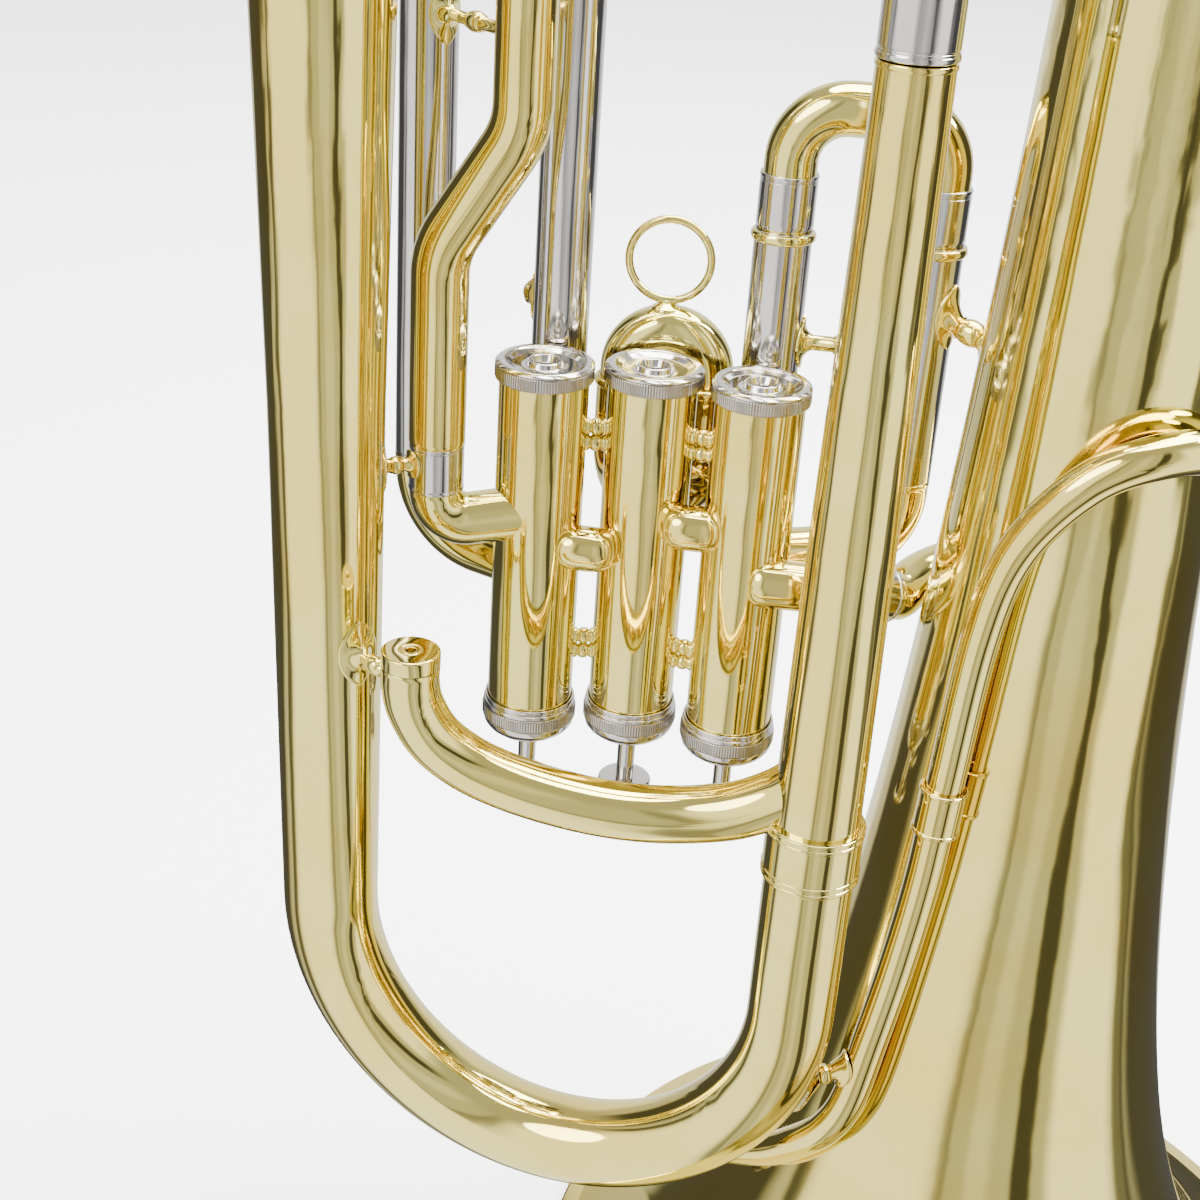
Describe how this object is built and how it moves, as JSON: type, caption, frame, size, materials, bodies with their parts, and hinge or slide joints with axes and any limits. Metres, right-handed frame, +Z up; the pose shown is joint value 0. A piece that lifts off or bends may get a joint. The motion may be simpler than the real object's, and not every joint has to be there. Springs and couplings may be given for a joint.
{
  "type": "euphonium",
  "caption": "Compact piston-valve euphonium in lacquered brass with nickel-silver caps and slide tubes, standing on its bell rim.",
  "frame": {"origin": "middle of the footprint, on the plane that the bell rim stands on", "axes": "+Z up, along the valves and the bell's axis, from the bell rim towards the bottom bow; +X along the valve row towards the bell; +Y away from the hand guard"},
  "size_m": [0.3844, 0.2828, 0.6952],
  "materials": {
    "lacquered_brass": "polished and clear-lacquered",
    "nickel_silver": "polished nickel silver",
    "spring_steel": "drawn wire"
  },
  "bodies": {
    "root": {"bell": "lacquered_brass", "bell_brace": "lacquered_brass", "bottom_bow": "lacquered_brass", "bottom_cap_1": "nickel_silver", "bottom_cap_2": "nickel_silver", "bottom_cap_3": "nickel_silver", "casing_bead_1_2_lower": "lacquered_brass", "casing_bead_1_2_upper": "lacquered_brass", "casing_bead_2_3_lower": "lacquered_brass", "casing_bead_2_3_upper": "lacquered_brass", "guard_brace": "lacquered_brass", "hand_guard": "lacquered_brass", "hand_guard_plug": "lacquered_brass", "inner_branch": "lacquered_brass", "knuckle_1_2": "lacquered_brass", "knuckle_2_3": "lacquered_brass", "leadpipe": "lacquered_brass", "leadpipe_brace": "lacquered_brass", "leadpipe_ferrule": "lacquered_brass", "main_sleeve_branch_side": "nickel_silver", "main_sleeve_valve_side": "nickel_silver", "mouthpiece_receiver": "nickel_silver", "port_sleeve": "nickel_silver", "port_tube_1": "lacquered_brass", "s_tube": "lacquered_brass", "s_tube_brace": "lacquered_brass", "s_tube_elbow": "lacquered_brass", "s_tube_ferrule": "nickel_silver", "slide_1_sleeve_left": "nickel_silver", "slide_1_sleeve_right": "nickel_silver", "slide_1_stay": "lacquered_brass", "slide_2_sleeve_left": "lacquered_brass", "slide_2_sleeve_right": "lacquered_brass", "slide_3_brace": "lacquered_brass", "slide_3_sleeve_left": "nickel_silver", "slide_3_sleeve_right": "nickel_silver", "top_cap_1": "nickel_silver", "top_cap_2": "nickel_silver", "top_cap_3": "nickel_silver", "u_bow_branch": "lacquered_brass", "u_bow_ferrule": "lacquered_brass", "valve_casing_1": "lacquered_brass", "valve_casing_2": "lacquered_brass", "valve_casing_3": "lacquered_brass", "valve_spring_1": "spring_steel", "valve_spring_2": "spring_steel", "valve_spring_3": "spring_steel", "water_key_body": "lacquered_brass"},
    "valve_1": {"finger_button_1": "nickel_silver", "piston_1": "nickel_silver"},
    "valve_2": {"finger_button_2": "nickel_silver", "piston_2": "nickel_silver"},
    "valve_3": {"finger_button_3": "nickel_silver", "piston_3": "nickel_silver"},
    "main_slide": {"main_tuning_slide": "lacquered_brass"},
    "slide_2": {"pull_ring_2": "lacquered_brass", "valve_slide_2": "lacquered_brass"},
    "slide_1": {"valve_slide_1": "lacquered_brass"},
    "slide_3": {"valve_slide_3": "lacquered_brass"},
    "water_key": {"water_key_button": "lacquered_brass"}
  },
  "joints": [
    {"name": "press_valve_1", "type": "slide", "parent": "root", "child": "valve_1", "axis": [0, 0, 1], "range_m": [0, 0.015], "stiffness_N_per_m": 150, "springref_m": -0.025, "deforming": ["valve_spring_1"]},
    {"name": "press_valve_2", "type": "slide", "parent": "root", "child": "valve_2", "axis": [0, 0, 1], "range_m": [0, 0.015], "stiffness_N_per_m": 150, "springref_m": -0.025, "deforming": ["valve_spring_2"]},
    {"name": "press_valve_3", "type": "slide", "parent": "root", "child": "valve_3", "axis": [0, 0, 1], "range_m": [0, 0.015], "stiffness_N_per_m": 150, "springref_m": -0.025, "deforming": ["valve_spring_3"]},
    {"name": "pull_slide_1", "type": "slide", "parent": "root", "child": "slide_1", "axis": [0, 0, 1], "range_m": [0, 0.055]},
    {"name": "pull_slide_2", "type": "slide", "parent": "root", "child": "slide_2", "axis": [0, 0, 1], "range_m": [0, 0.018]},
    {"name": "pull_slide_3", "type": "slide", "parent": "root", "child": "slide_3", "axis": [0, 0, 1], "range_m": [0, 0.055]},
    {"name": "pull_main_slide", "type": "slide", "parent": "root", "child": "main_slide", "axis": [0, 0, 1], "range_m": [0, 0.04]},
    {"name": "press_water_key", "type": "slide", "parent": "root", "child": "water_key", "axis": [0.8829, -0.4695, 0], "range_m": [0, 0.0012], "stiffness_N_per_m": 400, "springref_m": -0.002}
  ]
}
